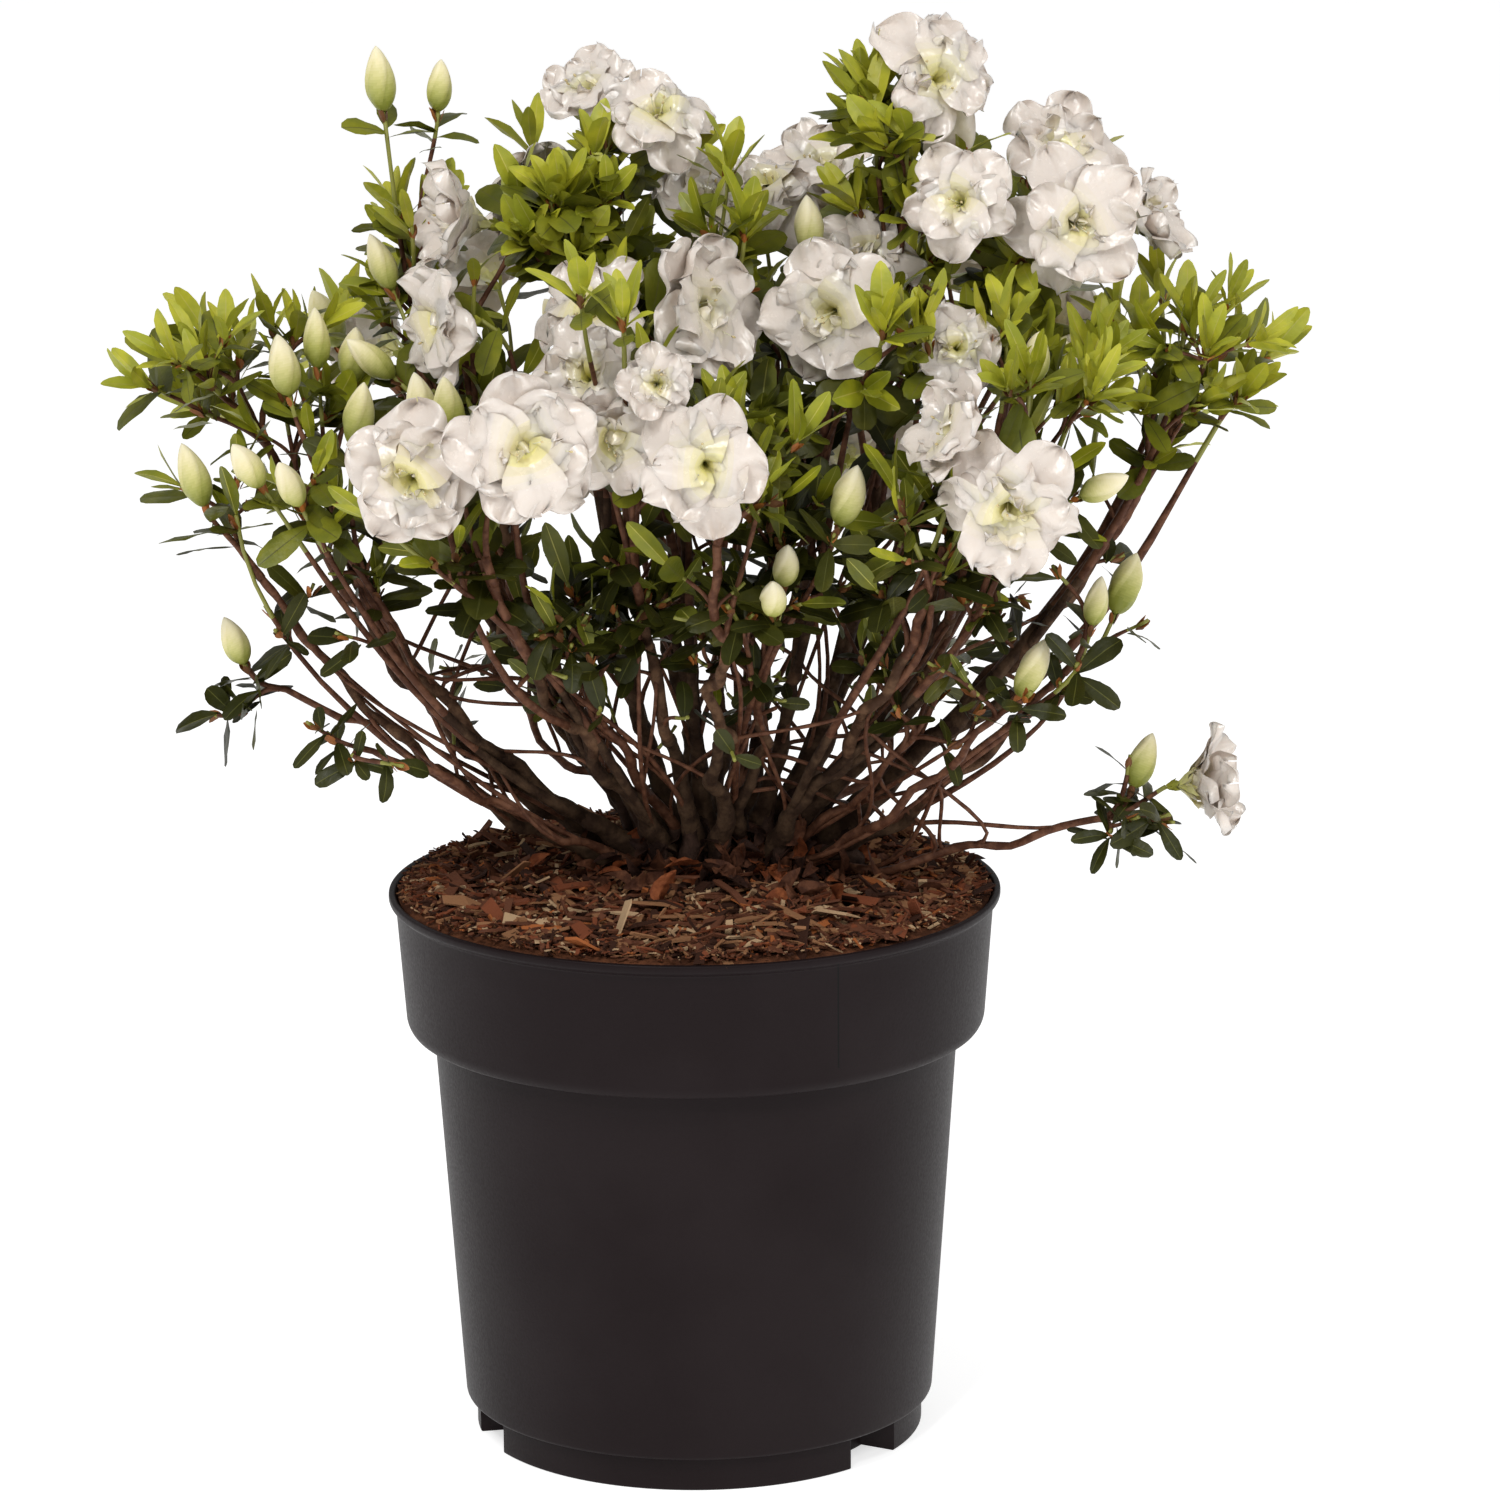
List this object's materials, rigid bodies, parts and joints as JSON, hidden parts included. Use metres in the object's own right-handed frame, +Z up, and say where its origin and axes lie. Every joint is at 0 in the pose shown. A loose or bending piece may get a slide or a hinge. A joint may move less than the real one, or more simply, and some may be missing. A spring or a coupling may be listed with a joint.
{
  "type": "azalea shrub in a pot",
  "caption": "Many-stemmed evergreen azalea in full white double bloom, wide and vase-shaped, in a round black nursery pot topped with bark mulch.",
  "frame": {"origin": "centre of the pot's flat underside", "axes": "+Z up through the pot's middle; +X to the viewer's right and -Y towards the viewer, on the shrub's front"},
  "size_m": [0.45, 0.3383, 0.5391],
  "materials": {
    "pot_plastic": "satin moulded black plastic",
    "mulch": "shredded bark over compost",
    "bark": "rough grey-brown bark, redder on young wood",
    "foliage": "soft evergreen leaves, yellow-green when young and dark and glossier when old",
    "petals": "thin ruffled white petals, greenish yellow in the throat",
    "buds": "cream buds, green at the foot"
  },
  "bodies": {
    "root": {"pot": "pot_plastic", "compost": "mulch", "woody_crown": "bark", "bough_far_left": "bark", "bough_left_buds": "bark", "bough_left_low": "bark", "bough_tall_left": "bark", "bough_upper_left": "bark", "bough_front_left": "bark", "bough_front_middle": "bark", "bough_front_right": "bark", "bough_top_left": "bark", "bough_centre": "bark", "bough_centre_right": "bark", "bough_back_middle": "bark", "bough_top_right": "bark", "bough_upper_right": "bark", "bough_right_leafy": "bark", "bough_far_right": "bark", "bough_right_front": "bark", "bough_right_buds": "bark", "bough_inner_front": "bark", "bough_rear_left": "bark", "bough_rear_middle": "bark", "bough_rear_right": "bark", "bough_rear_low": "bark", "mass_far_left": "foliage", "mass_left_buds": "foliage", "mass_left_low": "foliage", "mass_tall_left": "foliage", "mass_upper_left": "foliage", "mass_front_left": "foliage", "mass_front_middle": "foliage", "mass_front_right": "foliage", "mass_top_left": "foliage", "mass_centre": "foliage", "mass_centre_right": "foliage", "mass_back_middle": "foliage", "mass_top_right": "foliage", "mass_upper_right": "foliage", "mass_right_leafy": "foliage", "mass_far_right": "foliage", "mass_right_front": "foliage", "mass_right_buds": "foliage", "mass_inner_front": "foliage", "mass_rear_left": "foliage", "mass_rear_middle": "foliage", "mass_rear_right": "foliage", "mass_rear_low": "foliage", "spray_left_foot": "foliage", "spray_left_foot_low": "foliage", "spray_inner_left": "foliage", "spray_right_low": "foliage", "spray_right_dark": "foliage", "spray_inner_back": "foliage", "spray_rear_foot_left": "foliage", "spray_rear_foot_right": "foliage", "spray_right_foot": "foliage"}
  },
  "joints": []
}
